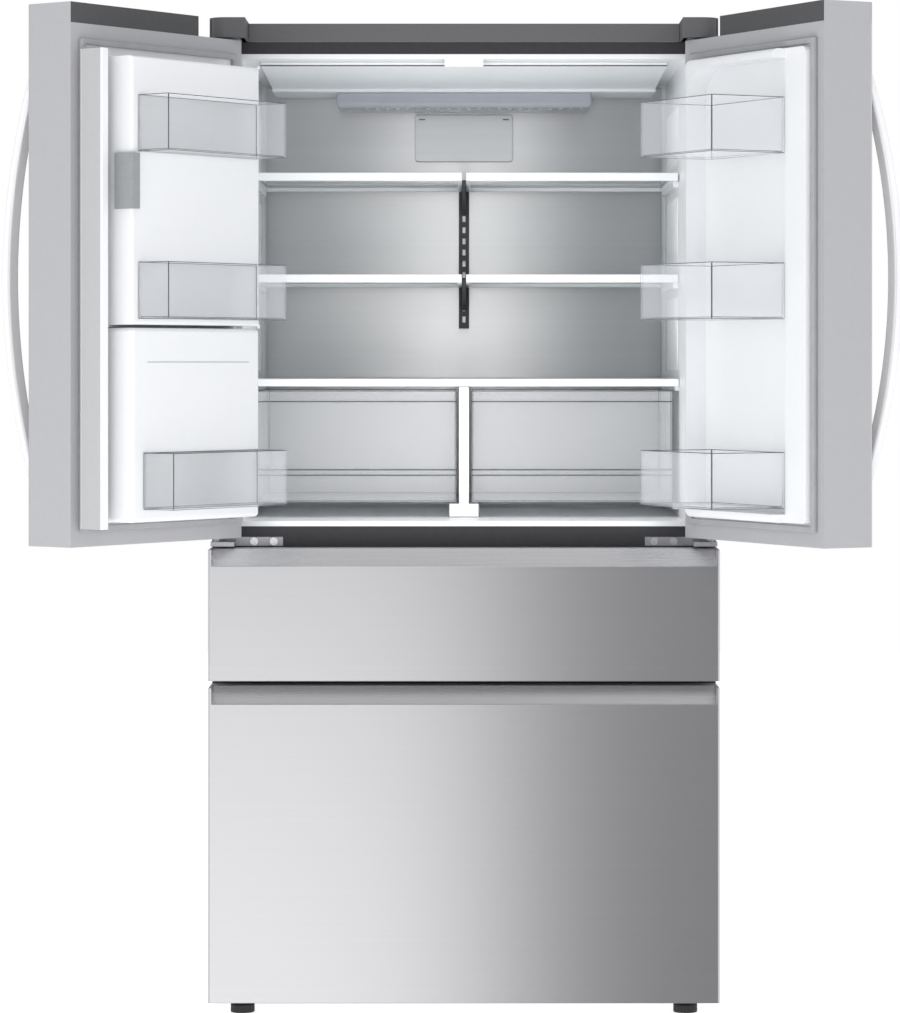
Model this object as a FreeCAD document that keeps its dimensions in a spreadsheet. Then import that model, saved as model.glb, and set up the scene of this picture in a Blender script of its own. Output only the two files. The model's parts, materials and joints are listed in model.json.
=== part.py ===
"""French door refrigerator: four-door cabinet with two upper doors, a pantry drawer and a freezer drawer.

Axes: X to the right, Y from the front to the back, Z up. The sub-parts are drawn in cabinet coordinates,
with x = 0 in the middle, y = 0 at the front of the cabinet and z = 0 on the floor. Each sub-part's
Placement then moves the whole to its origin, under the middle of its box, and turns the doors open.
"""
import FreeCAD, Part
import os
import re

# ---------------------------------------------------------------- driving dimensions
DIMENSIONS = [
    ("shift_x", 22.2, "origin to cabinet middle"),
    ("shift_y", -127.5, "origin to cabinet front"),
    ("half_width", 454.0, "half the cabinet's width"),
    ("case_depth", 735.0, "front of the cabinet to its back"),
    ("case_base", 40.0, "underside of the base pan"),
    ("case_top", 1742.0, "top of the steel case"),
    ("skin", 2.0, "modelled thickness of folded sheet"),
    ("flange_x", 420.0, "inner edge of the case's front flange"),
    ("flange_top", 1720.0, "lower edge of the case's top flange"),
    ("room_x", 398.0, "half the width inside the liners"),
    ("room_floor", 878.0, "fresh food floor"),
    ("room_ceiling", 1711.0, "fresh food ceiling"),
    ("room_back", 642.0, "fresh food back wall"),
    ("wall", 3.0, "moulded wall"),
    ("pin_x", 441.0, "door pin from the middle"),
    ("pin_y", -55.0, "door pin in front of the case"),
    ("pin_r", 6.0, "door pin radius"),
    ("pin_play", 0.3, "running clearance on the pin"),
    ("open_left", 126.0, "left door's angle as modelled"),
    ("open_right", 117.5, "right door's angle as modelled"),
    ("front_y", -110.0, "outer face of doors and drawers"),
    ("inner_y", -10.0, "inner face of doors and drawers"),
    ("door_low", 852.0, "bottom of the doors"),
    ("door_high", 1738.0, "top of the door skins"),
    ("cap_high", 1773.0, "top of the door caps"),
    ("cap_end", 336.0, "hinge end of the door cap"),
    ("cover_high", 1778.0, "top of the hinge covers"),
    ("cover_x", 389.0, "inner end of the hinge covers"),
    ("pantry_low", 599.0, "bottom of the pantry drawer front"),
    ("pantry_high", 832.0, "top of the pantry drawer front"),
    ("freezer_low", 28.0, "bottom of the freezer drawer front"),
    ("freezer_high", 587.0, "top of the freezer drawer front"),
    ("grip_drop", 29.0, "height of the scooped grip"),
    ("edge_r", 8.0, "rounding of the folded door skins"),
    ("return_x", 26.0, "free-side edge of the liner, from the middle"),
    ("return_end", 430.0, "hinge-side edge of the liner, from the middle"),
    ("return_low", 882.0, "bottom of the door liner"),
    ("return_high", 1708.0, "top of the door liner"),
    ("rail_top", 869.0, "top of the rail under the fresh food room"),
    ("pantry_roof", 828.0, "top of the pantry room's liner"),
    ("pantry_floor", 603.0, "bottom of the pantry room's liner"),
    ("pantry_back", 623.0, "back of the pantry room's liner"),
    ("freezer_roof", 583.0, "top of the freezer room's liner"),
    ("freezer_floor", 60.0, "bottom of the freezer room's liner"),
    ("freezer_back", 600.0, "back of the freezer room's liner"),
    ("step_y", 443.0, "where the freezer's liner steps over the machine room"),
    ("step_z", 310.0, "height of that step"),
    ("machine_top", 300.0, "top of the machine room"),
    ("shelf_y", 165.0, "front of the shelves"),
    ("shelf_upper", 1515.0, "top of the upper shelves"),
    ("shelf_lower", 1327.0, "top of the lower shelves"),
    ("shelf_deep", 15.0, "height of a shelf frame"),
    ("cover_top", 1134.0, "top of the crisper cover"),
    ("bin_reach", 151.0, "back of the door bins with the door shut"),
    ("bin_wall", 2.5, "wall of a clear bin"),
    ("bin_high", 96.0, "height of a clear bin"),
    ("bin_upper", 1520.0, "bottom of the upper bins"),
    ("bin_middle", 1238.0, "bottom of the middle bins"),
    ("bin_lower", 916.0, "bottom of the lower bins"),
    ("ice_top", 1681.0, "top of the ice door"),
    ("ice_low", 1228.0, "bottom of the ice door"),
    ("ice_out", 391.0, "hinge side of the ice door, from the middle"),
    ("ice_in", 51.0, "free side of the ice door, from the middle"),
    ("ice_face", 84.0, "inner face of the ice door with the door shut"),
    ("latch_low", 1423.0, "bottom of the ice door's latch"),
    ("latch_high", 1517.0, "top of the ice door's latch"),
    ("recess_out", 333.0, "hinge side of the dispenser, from the middle"),
    ("recess_in", 123.0, "free side of the dispenser, from the middle"),
    ("recess_low", 960.0, "bottom of the dispenser recess"),
    ("recess_high", 1222.0, "top of the dispenser recess"),
    ("handle_low", 947.0, "lower end of a door handle"),
    ("handle_high", 1670.0, "upper end of a door handle"),
    ("handle_out", 68.0, "how far a handle bows out"),
    ("handle_thick", 16.0, "thickness of a handle"),
    ("foot_x", 397.0, "levelling foot from the middle"),
    ("foot_y", -30.0, "levelling foot in front of the case"),
    ("foot_r", 21.5, "levelling foot radius"),
    ("roller_y", 690.0, "rear roller axle"),
    ("roller_r", 20.0, "rear roller radius"),
    ("rail_low", 640.0, "underside of the pantry rails"),
    ("ice_rail_low", 330.0, "underside of the freezer rails"),
]
VALUES = {alias: value for alias, value, note in DIMENSIONS}

doc = FreeCAD.newDocument("refrigerator")
sheet = doc.addObject("Spreadsheet::Sheet", "dims")
for row, (alias, value, note) in enumerate(DIMENSIONS, start=1):
    sheet.set(f"A{row}", alias)
    sheet.set(f"B{row}", str(value))
    sheet.set(f"C{row}", note)
    sheet.setAlias(f"B{row}", alias)
doc.recompute()
sub_parts = []


# ---------------------------------------------------------------- building blocks
def bind(text):
    """An expression with each dimension's name looked up in the sheet."""
    return re.sub(r"[a-z][a-z_]+", lambda found: "dims." + found.group(0), str(text))


def value(text):
    """The number that an expression gives, for features that can't be bound."""
    return float(FreeCAD.Units.Quantity(str(sheet.evalExpression(bind(text).replace("dims.", "")))))


def flip(span):
    """The same span on the other side of the middle."""
    return (f"-({span[1]})", f"-({span[0]})")


def sided(side, inner, outer):
    """A span of x from inner to outer, on the left for -1 and the right for 1."""
    return (inner, outer) if side > 0 else flip((inner, outer))


def box(x, y, z):
    item = doc.addObject("Part::Box", "block")
    for axis, size, (low, high) in zip("xyz", ("Length", "Width", "Height"), (x, y, z)):
        item.setExpression(size, bind(f"({high}) - ({low})"))
        item.setExpression(f".Placement.Base.{axis}", bind(low))
    return item


def cylinder(axis, centre, span, radius):
    """Round bar along an axis: centre gives the other two coordinates, in x, y, z order."""
    item = doc.addObject("Part::Cylinder", "round")
    item.setExpression("Radius", bind(radius))
    item.setExpression("Height", bind(f"({span[1]}) - ({span[0]})"))
    turn = {"x": ((0, 1, 0), 90), "y": ((1, 0, 0), -90), "z": ((0, 0, 1), 0)}[axis]
    item.Placement = FreeCAD.Placement(FreeCAD.Vector(), FreeCAD.Rotation(FreeCAD.Vector(*turn[0]), turn[1]))
    others = iter(centre)
    for name in "xyz":
        item.setExpression(f".Placement.Base.{name}", bind(span[0] if name == axis else next(others)))
    return item


def fuse(*items):
    item = doc.addObject("Part::MultiFuse", "joined")
    item.Shapes = list(items)
    return item


def group(*items):
    """Pieces that stay separate solids in one sub-part."""
    item = doc.addObject("Part::Compound", "pieces")
    item.Links = list(items)
    return item


def cut(base, *tools):
    item = doc.addObject("Part::Cut", "cut")
    item.Base = base
    item.Tool = tools[0] if len(tools) == 1 else fuse(*tools)
    return item


def common(base, tool):
    item = doc.addObject("Part::Common", "common")
    item.Base = base
    item.Tool = tool
    return item


def rounded(base, radius, wanted):
    """Round the edges whose middle point and direction pass the test."""
    doc.recompute()
    item = doc.addObject("Part::Fillet", "rounded")
    item.Base = base
    chosen = []
    for index, edge in enumerate(base.Shape.Edges, start=1):
        middle = edge.valueAt((edge.FirstParameter + edge.LastParameter) / 2)
        ends = edge.Vertexes
        direction = (ends[-1].Point - ends[0].Point).normalize()
        if wanted(middle, direction):
            chosen.append((index, radius, radius))
    item.Edges = chosen
    return item


def prism(points, start, length):
    """A padded outline: the points are (y, z) and the pad runs along X."""
    body = doc.addObject("PartDesign::Body", "prism")
    sketch = body.newObject("Sketcher::SketchObject", "outline")
    plane = [item for item in body.Origin.OriginFeatures if item.Role == "YZ_Plane"][0]
    sketch.AttachmentSupport = (plane, [""])
    sketch.MapMode = "FlatFace"
    sketch.setExpression(".AttachmentOffset.Base.z", bind(start))
    corners = [FreeCAD.Vector(value(y), value(z), 0) for y, z in points]
    for first, second in zip(corners, corners[1:] + corners[:1]):
        sketch.addGeometry(Part.LineSegment(first, second), False)
    pad = body.newObject("PartDesign::Pad", "pad")
    pad.Profile = sketch
    pad.setExpression("Length", bind(length))
    body.Tip = pad
    return body


def tray(x, y, z, wall, floor=None):
    """Open box: four walls and a floor."""
    inside = box((f"{x[0]}+{wall}", f"{x[1]}-{wall}"), (f"{y[0]}+{wall}", f"{y[1]}-{wall}"),
                 (f"{z[0]}+{floor or wall}", f"{z[1]}+1"))
    return cut(box(x, y, z), inside)


def ring(x, y, z, inner_x, inner_z):
    """Flat frame around an opening, seen from the front."""
    return cut(box(x, y, z), box(inner_x, (f"{y[0]}-1", f"{y[1]}+1"), inner_z))


TURNS = {"case": ("0", "0"), "left_door": ("-open_left", "-pin_x"), "right_door": ("open_right", "pin_x")}


def sub_part(label, item, frame="case"):
    """Name a finished piece and put it in the part's frame."""
    angle, centre = TURNS[frame]
    item.Label = label
    move = (f"placement(vector(shift_x; shift_y; 0); rotation(vector(0; 0; 1); {angle});"
            f" vector({centre}; pin_y; 0))")
    names = "|".join(sorted(VALUES, key=len, reverse=True))
    item.setExpression("Placement", re.sub(rf"\b({names})\b", r"dims.\1", move))
    sub_parts.append(item)


# ---------------------------------------------------------------- steel case, back and base
def case_shell():
    """Painted sheet wrapper: two sides and a top in one fold, with a narrow front flange."""
    outer = box(("-half_width", "half_width"), ("0", "case_depth"), ("case_base", "case_top"))
    hollow = box(("-half_width+skin", "half_width-skin"), ("skin", "case_depth+1"),
                 ("case_base-1", "case_top-skin"))
    mouth = box(("-flange_x", "flange_x"), ("-1", "skin+1"), ("case_base-1", "flange_top"))
    sub_part("case_shell", cut(outer, hollow, mouth))


def case_back():
    inner = ("-half_width+skin", "half_width-skin")
    plate = box(inner, ("case_depth-skin", "case_depth"), ("machine_top", "case_top-skin"))
    sub_part("back_panel", group(plate))
    cover = box(inner, ("case_depth-skin", "case_depth"), ("case_base+3", "machine_top"))
    slots = [box((f"{-330 + 60 * step}", f"{-290 + 60 * step}"), ("case_depth-skin-1", "case_depth+1"),
                 (f"{low}", f"{low + 8}")) for step in range(12) for low in (200, 225, 250)]
    inlet = cylinder("y", ("-405", "120"), ("case_depth-skin-1", "case_depth+1"), "12")
    sub_part("machine_room_cover", cut(cover, inlet, *slots))


def base_pan():
    """Floor of the case, with the front leg brackets and the rear roller forks folded from it."""
    items = [box(("-half_width+skin", "half_width-skin"), ("skin+1", "case_depth-skin"),
                 ("case_base", "case_base+3"))]
    holes = []
    for side in (-1, 1):
        leg = sided(side, "foot_x-22", "foot_x+22")
        items.append(box(leg, ("foot_y-22", "60"), ("25", "freezer_low-1")))
        items.append(box(leg, ("57", "60"), ("25", "41")))
        middle = "foot_x" if side > 0 else "-foot_x"
        holes.append(cylinder("z", (middle, "foot_y"), ("24", "28"), "5.3"))
        for inner in (362, 395):
            fork = sided(side, f"{inner}", f"{inner + 3}")
            items.append(box(fork, ("roller_y-18", "roller_y+18"), ("roller_r-8", "41")))
        items.append(cylinder("x", ("roller_y", "roller_r"), sided(side, "363", "397"), "4"))
    sub_part("base_pan", cut(fuse(*items), *holes))


def cross_rails():
    """Front rails between the compartments; the doors' gaskets and the drawers' gaskets shut on them."""
    rails = [box(("-flange_x", "flange_x"), ("0", "40"), span) for span in
             (("pantry_roof", "rail_top"), ("freezer_roof", "pantry_floor"), ("case_base+3", "freezer_floor"))]
    sub_part("cross_rails", group(*rails))


def foam_insulation():
    """Foam between the case and the three liners, with the machine room left free."""
    block = box(("-half_width+skin", "half_width-skin"), ("skin", "case_depth-skin"),
                ("case_base+3", "case_top-skin"))
    liner = ("-room_x-wall", "room_x+wall")
    rail = ("-flange_x", "flange_x")
    rooms = [
        box(liner, ("0", "room_back+wall"), ("room_floor-wall", "room_ceiling+wall")),
        box(liner, ("0", "pantry_back"), ("pantry_floor", "pantry_roof")),
        box(liner, ("0", "freezer_back"), ("step_z", "freezer_roof")),
        box(liner, ("0", "step_y"), ("freezer_floor", "freezer_roof")),
        box(("-half_width", "half_width"), ("step_y+17", "case_depth"), ("case_base+2", "machine_top")),
        box(rail, ("0", "40"), ("pantry_roof", "rail_top")),
        box(rail, ("0", "40"), ("freezer_roof", "pantry_floor")),
        box(rail, ("0", "40"), ("case_base+2", "freezer_floor")),
        box(rail, ("0", "5"), ("freezer_floor", "pantry_roof")),
    ]
    sub_part("foam_insulation", cut(block, *rooms))


# ---------------------------------------------------------------- liners
def fridge_liner():
    """White moulded liner of the fresh food room, with shelf and crisper ledges and the mullion guide."""
    outer = box(("-room_x-wall", "room_x+wall"), ("0", "room_back+wall"),
                ("room_floor-wall", "room_ceiling+wall"))
    flange = box(("-flange_x", "flange_x"), ("0", "skin"), ("rail_top", "flange_top"))
    inside = box(("-room_x", "room_x"), ("-1", "room_back"), ("room_floor", "room_ceiling"))
    shell = cut(fuse(outer, flange), inside)
    extras = []
    for side in (-1, 1):
        for top in ("shelf_upper-shelf_deep", "shelf_lower-shelf_deep"):
            extras.append(box(sided(side, "room_x-10", "room_x+1"), ("200", "600"), (f"{top}-10", top)))
        extras.append(box(sided(side, "room_x-12", "room_x+1"), ("180", "600"), ("893", "904")))
        extras.append(box(sided(side, "room_x-8", "room_x+1"), ("180", "620"),
                          ("cover_top-22", "cover_top-14")))
    guide = cut(box(("-35", "35"), ("4", "42"), ("1698", "room_ceiling+1")),
                cylinder("z", ("-12", "22"), ("1697", "1704"), "6"))
    sub_part("fridge_liner", fuse(shell, guide, *extras))


def lower_liners():
    """White liners of the pantry and freezer rooms; the freezer's steps over the machine room."""
    liner = ("-room_x-wall", "room_x+wall")
    flange = ("-flange_x", "flange_x")
    pantry_height = ("pantry_floor", "pantry_roof")
    pantry = fuse(box(liner, ("skin", "pantry_back"), pantry_height), box(flange, ("skin", "5"), pantry_height))
    pantry_room = box(("-room_x", "room_x"), ("1", "pantry_back-wall"),
                      ("pantry_floor+wall", "pantry_roof-wall"))
    sub_part("pantry_liner", cut(pantry, pantry_room))
    freezer = fuse(box(liner, ("skin", "freezer_back"), ("step_z", "freezer_roof")),
                   box(liner, ("skin", "step_y"), ("freezer_floor", "freezer_roof")),
                   box(flange, ("skin", "5"), ("freezer_floor", "freezer_roof")))
    upper_room = box(("-room_x", "room_x"), ("1", "freezer_back-wall"), ("step_z+wall", "freezer_roof-wall"))
    front_room = box(("-room_x", "room_x"), ("1", "step_y-wall"), ("freezer_floor+wall", "freezer_roof-wall"))
    sub_part("freezer_liner", cut(freezer, fuse(upper_room, front_room)))


def fridge_fittings():
    """Steel back wall, sloping ceiling panel and the clear lamp lens below it."""
    sub_part("steel_back_wall", group(box(("-390", "390"), ("638", "room_back"), ("885", "1705"))))
    points = [("60", "1704"), ("450", "1691"), ("450", "1685"), ("630", "1685"), ("630", "room_ceiling"),
              ("60", "room_ceiling")]
    sub_part("ceiling_panel", group(prism(points, "-370", "740")))
    lens = box(("-246", "246"), ("470", "622"), ("1655", "1685"))
    lens = rounded(lens, 12, lambda middle, way: middle.z < 1656)
    sub_part("lamp_lens", cut(lens, box(("-240", "240"), ("476", "616"), ("1661", "1686"))))


# ---------------------------------------------------------------- shelves and crispers
def shelves():
    """Two levels of glass shelves, split in the middle, on a slotted rail and cantilever brackets."""
    rail = box(("-10", "10"), ("620", "638"), ("1231", "1522"))
    slots = [box(("-3", "3"), ("619", "639"), (f"{low}", f"{low + 12}")) for low in range(1243, 1510, 22)]
    arms = []
    for top in ("shelf_upper", "shelf_lower"):
        points = [("330", f"{top}-6"), ("330", f"{top}-16"), ("622", f"{top}-60"), ("622", f"{top}-6")]
        arms.append(prism(points, "-3.5", "7"))
    sub_part("ladder_rail", fuse(cut(rail, *slots), *arms))
    frames = []
    glass = []
    for top in ("shelf_upper", "shelf_lower"):
        for side in (-1, 1):
            frame = box(sided(side, "4", "room_x-2"), ("shelf_y", "618"), (f"{top}-shelf_deep", top))
            window = box(sided(side, "12", "room_x-12"), ("shelf_y+20", "602"),
                         (f"{top}-shelf_deep-1", f"{top}+1"))
            seat = (sided(side, "7", "room_x-5"), ("shelf_y+12", "610"), (f"{top}-7", f"{top}-3"))
            frames.append(cut(frame, window, box(*seat)))
            glass.append(box(*seat))
    sub_part("shelf_frames", group(*frames))
    seat = (("-392", "392"), ("shelf_y+15", "630"), ("cover_top-8", "cover_top-4"))
    frame = box(("-room_x+1", "room_x-1"), ("shelf_y", "636"), ("cover_top-14", "cover_top"))
    window = box(("-385", "385"), ("shelf_y+25", "620"), ("cover_top-15", "cover_top+1"))
    sub_part("crisper_cover", cut(frame, window, box(*seat)))
    glass.append(box(*seat))
    sub_part("shelf_glass", group(*glass))


def crispers():
    """Clear vegetable drawers either side of a white centre support."""
    wall = box(("-10", "10"), ("172", "630"), ("room_floor", "cover_top-14"))
    foot = box(("-28", "28"), ("172", "630"), ("room_floor", "904"))
    sub_part("crisper_support", fuse(wall, foot))
    for side, name in ((-1, "crisper_left"), (1, "crisper_right")):
        body = tray(sided(side, "13", "386"), ("168", "600"), ("905", "1112"), "wall")
        lip = box(sided(side, "13", "386"), ("160", "169"), ("1092", "1112"))
        step = box(sided(side, "13", "386"), ("162", "169"), ("956", "966"))
        sub_part(name, fuse(body, lip, step))


def air_filter():
    """Filter cartridge on the back wall under a rounded snap-off cover."""
    corners = lambda middle, way: abs(way.y) > 0.9
    cover = rounded(box(("-96.5", "96.5"), ("625", "637.5"), ("1560", "1652")), 7, corners)
    sub_part("filter_cover", cut(cover, box(("-90", "90"), ("628", "638"), ("1566", "1646"))))
    sub_part("filter_cartridge", group(box(("-85", "85"), ("629", "638"), ("1571", "1641"))))


# ---------------------------------------------------------------- top trim and hinges
def top_trim():
    bar = box(("-cover_x", "cover_x"), ("-2", "60"), ("case_top", "1775"))
    bar = cut(bar, box(("-cover_x-1", "cover_x+1"), ("1", "61"), ("case_top-1", "1772")))
    sub_part("top_cover_bar", bar)
    covers = []
    for side in (-1, 1):
        outer = box(sided(side, "cover_x", "half_width"), ("-95", "120"), ("case_top", "cover_high"))
        front = lambda middle, way: abs(way.z) > 0.9 and middle.y < 0 and abs(middle.x) > 450
        outer = rounded(outer, 30, front)
        inner = box(sided(side, "cover_x+2.5", "half_width-2.5"), ("-80", "117"),
                    ("case_top-1", "cover_high-2.5"))
        covers.append(cut(outer, inner))
    sub_part("hinge_covers", group(*covers))


def hinge_brackets():
    """Top and middle hinges with their pins, and the screws of the middle ones."""
    pieces = []
    for side in (-1, 1):
        pin = "pin_x" if side > 0 else "-pin_x"
        plate = box(sided(side, "400", "450"), ("pin_y-16", "100"), ("case_top", "case_top+4"))
        top_pin = cylinder("z", (pin, "pin_y"), ("door_high-14", "case_top+1"), "pin_r")
        pieces.append(fuse(plate, top_pin))
        upright = box(sided(side, "326", "452"), ("-4", "0"), ("834", "850"))
        arm = box(sided(side, "410", "452"), ("pin_y-16", "-3"), ("836", "844"))
        low_pin = cylinder("z", (pin, "pin_y"), ("840", "door_low+14"), "pin_r")
        heads = [cylinder("y", (x if side > 0 else f"-{x}", "842"), ("-8", "-3"), "7.5")
                 for x in ("342.5", "377.6")]
        pieces.append(fuse(upright, arm, low_pin, *heads))
    sub_part("hinge_brackets", group(*pieces))


# ---------------------------------------------------------------- doors
def door_common(side, name):
    """Folded steel skin, plastic top cap, magnetic gasket and bowed handle of one door."""
    frame = f"{name}_door"
    front_corners = lambda middle, way: abs(way.z) > 0.9 and middle.y < VALUES["inner_y"] - 20
    outer = box(sided(side, "2", "half_width"), ("front_y", "inner_y"), ("door_low", "door_high"))
    outer = rounded(outer, VALUES["edge_r"], front_corners)
    hollow = box(sided(side, "2+skin", "half_width-skin"), ("front_y+skin", "inner_y-wall"),
                 ("door_low+skin", "door_high-skin"))
    mouth = box(sided(side, "return_x", "return_end"), ("inner_y-wall-1", "inner_y+1"),
                ("return_low", "return_high"))
    pin = "pin_x" if side > 0 else "-pin_x"
    bore = cylinder("z", (pin, "pin_y"), ("door_low-1", "door_high+1"), "pin_r+pin_play")
    holes = [hollow, mouth, bore]
    if side < 0:
        holes.append(box(("-recess_out", "-recess_in"), ("front_y-1", "front_y+skin+1"),
                         ("recess_low", "recess_high")))
    sub_part(f"{name}_door_shell", cut(outer, *holes), frame)

    cap = box(sided(side, "2", "cap_end"), ("front_y", "inner_y"), ("door_high", "cap_high"))
    cap = rounded(cap, VALUES["edge_r"], lambda middle, way: abs(way.z) > 0.9 and middle.y < -50
                  and abs(middle.x) < 100)
    cap_room = box(sided(side, "2+2.5", "cap_end-2.5"), ("front_y+2.5", "inner_y-2.5"),
                   ("door_high-1", "cap_high-2.5"))
    sub_part(f"{name}_door_cap", cut(cap, cap_room), frame)

    gasket = ring(sided(side, "return_x-4", "return_end+4"), ("inner_y", "-1.5"),
                  ("return_low-4", "return_high+4"), sided(side, "return_x+6", "return_end-6"),
                  ("return_low+6", "return_high-6"))
    sub_part(f"{name}_door_gasket", group(gasket), frame)

    reach = "((handle_high-handle_low)*(handle_high-handle_low)/4+handle_out*handle_out)/(2*handle_out)"
    centre = (f"front_y-handle_out+{reach}", "(handle_high+handle_low)/2")
    span = sided(side, "13", "39")
    bow = cut(cylinder("x", centre, span, reach), cylinder("x", centre, (f"{span[0]}-1", f"{span[1]}+1"),
                                                          f"{reach}-handle_thick"))
    window = box((f"{span[0]}-1", f"{span[1]}+1"), ("front_y-handle_out-1", "front_y"),
                 ("handle_low-5", "handle_high+5"))
    sub_part(f"{name}_door_handle", group(common(bow, window)), frame)


def clear_bin(x, z, y=("5", "bin_reach")):
    """Clear open bin held between the door's raised sides."""
    return tray(x, y, z, "bin_wall")


def right_door():
    door_common(1, "right")
    plate = box(("return_x", "return_end"), ("inner_y-wall", "inner_y"), ("return_low", "return_high"))
    block = rounded(box(("36", "396"), ("inner_y-1", "30"), ("892", "1698")), 12,
                    lambda middle, way: middle.y > 0)
    upper_corner = lambda middle, way: abs(way.y) > 0.9 and middle.z > 1000 and middle.x > 300
    pocket = rounded(box(("100", "384"), ("inner_y-2", "31"), ("906", "1682")), 60, upper_corner)
    step = box(("35", "101"), ("5", "31"), ("891", "1699"))
    sub_part("right_door_liner", fuse(plate, cut(block, pocket, step)), "right_door")
    bins = [clear_bin(("100", "338"), (low, f"{low}+bin_high"))
            for low in ("bin_upper", "bin_middle", "bin_lower")]
    sub_part("right_door_bins", group(*bins), "right_door")


def left_door():
    """Left door: ice room high up, dispenser below it, one bin at the bottom."""
    door_common(-1, "left")
    plate = box(("-return_end", "-return_x"), ("inner_y-wall", "inner_y"), ("return_low", "return_high"))
    ice_walls = box(("-ice_out-4", "-ice_in+4"), ("front_y+12", "27"), ("ice_low-4", "ice_top+3"))
    bulge = rounded(box(("-ice_out", "-ice_in"), ("inner_y-wall", "ice_face"), ("894", "ice_low-5")), 8,
                    lambda middle, way: middle.y > 0)
    ice_room = box(("-ice_out+11", "-ice_in-11"), ("front_y+15", "28"), ("ice_low+11", "ice_top-12"))
    bulge_room = box(("-ice_out+wall", "-ice_in-wall"), ("inner_y-wall-1", "ice_face-wall"),
                     ("897", "ice_low-8"))
    sub_part("left_door_liner", cut(fuse(plate, ice_walls, bulge), ice_room, bulge_room), "left_door")
    low_bin = clear_bin(("-383", "-79"), ("bin_lower", "bin_lower+bin_high"), ("ice_face", "bin_reach+1"))
    sub_part("left_door_bin", group(low_bin), "left_door")

    mould = box(("-350", "-90"), ("-70", "10"), ("1540", "1600"))
    drive = box(("-120", "-90"), ("-80", "15"), ("1530", "1640"))
    maker = fuse(mould, drive, cylinder("x", ("-30", "1560"), ("-340", "-100"), "32"))
    sub_part("ice_maker", group(maker), "left_door")
    bucket = tray(("-365", "-77"), ("-85", "20"), ("1250", "1500"), "wall")
    sub_part("ice_bucket", group(bucket), "left_door")

    door = rounded(box(("-ice_out", "-ice_in"), ("29", "ice_face"), ("ice_low", "ice_top")), 6,
                   lambda middle, way: middle.y > VALUES["ice_face"] - 1)
    door_room = box(("-ice_out+wall", "-ice_in-wall"), ("28", "ice_face-wall"),
                    ("ice_low+wall", "ice_top-wall"))
    door_pins = [cylinder("z", ("-ice_out", "80"), span, "3") for span in
                 (("ice_low-4", "ice_low+2"), ("ice_top-2", "ice_top+2.5"))]
    sub_part("ice_door", fuse(cut(door, door_room), *door_pins), "left_door")
    bins = [clear_bin(("-381", "-66"), (low, f"{low}+bin_high"), ("ice_face", "bin_reach+1"))
            for low in ("bin_upper", "bin_middle")]
    sub_part("ice_door_bins", group(*bins), "left_door")
    lever = box(("-ice_in+0.3", "-45"), ("50", "91"), ("latch_low", "latch_high"))
    grip = box(("-63", "-45"), ("ice_face+0.3", "91"), ("latch_low", "latch_high"))
    latch_pivot = cylinder("z", ("-63", "88"), ("latch_low", "latch_high"), "2.5")
    sub_part("ice_latch", fuse(lever, grip, latch_pivot), "left_door")

    flap = rounded(box(("-31", "-13"), ("1", "50"), ("882", "1694")), 3, lambda middle, way: abs(way.z) > 0.9)
    flap_pin = cylinder("z", ("-19", "6.5"), ("879.5", "1696.5"), "4")
    sub_part("mullion_flap", fuse(flap, flap_pin), "left_door")

    recess = cut(box(("-recess_out", "-recess_in"), ("front_y", "-30"), ("recess_low", "recess_high")),
                 box(("-recess_out+wall", "-recess_in-wall"), ("front_y-1", "-33"),
                     ("recess_low+wall", "recess_high-wall")))
    panel = box(("-recess_out", "-recess_in"), ("front_y-2", "front_y"), ("recess_high", "1330"))
    spout = cylinder("z", ("-228", "-72"), ("1196", "recess_high-wall"), "24")
    slots = [box(("-316", "-140"), (f"{low}", f"{low + 5}"), ("968", "974")) for low in range(-102, -45, 10)]
    drip = cut(box(("-322", "-134"), ("front_y+2", "-40"), ("recess_low+wall", "973")), *slots)
    sub_part("dispenser_housing", group(fuse(recess, panel, spout), drip), "left_door")
    paddle = rounded(box(("-246", "-210"), ("-70", "-66"), ("1040", "1180")), 1.5,
                     lambda middle, way: abs(way.y) < 0.1)
    paddle_pin = cylinder("x", ("-68", "1178"), ("-250", "-206"), "3")
    sub_part("dispenser_paddle", fuse(paddle, paddle_pin), "left_door")


# ---------------------------------------------------------------- drawers
def drawer_front(name, low, high):
    """Folded steel drawer front with a scooped grip along its top edge."""
    outer = rounded(box(("-half_width", "half_width"), ("front_y", "inner_y"), (low, high)), 4,
                    lambda middle, way: abs(way.z) > 0.9 and middle.y < -100)
    hollow = box(("-half_width+skin", "half_width-skin"), ("front_y+skin", "inner_y+1"),
                 (f"{low}+skin", f"{high}-grip_drop-28"))
    points = [("front_y-1", f"{high}-grip_drop"), ("front_y+8", f"{high}-grip_drop"),
              ("front_y+12", f"{high}-grip_drop-14"), ("front_y+24", f"{high}-grip_drop-20"),
              ("front_y+42", f"{high}-grip_drop-12"), ("front_y+54", f"{high}+1"), ("front_y-1", f"{high}+1")]
    sub_part(name, cut(outer, hollow, prism(points, "-half_width+6", "2*half_width-12")))


def rails(low, first, last):
    """Three-member telescopic rails, one pair: fixed, middle and moving members."""
    fixed = [box(sided(side, "390", "room_x"), (first, last), (low, f"{low}+40")) for side in (-1, 1)]
    middle = [box(sided(side, "383", "389.5"), (first, last), (f"{low}+5", f"{low}+35")) for side in (-1, 1)]
    moving = [box(sided(side, "372", "382.5"), ("inner_y", last), (low, f"{low}+40")) for side in (-1, 1)]
    return fixed, middle, moving


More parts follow.
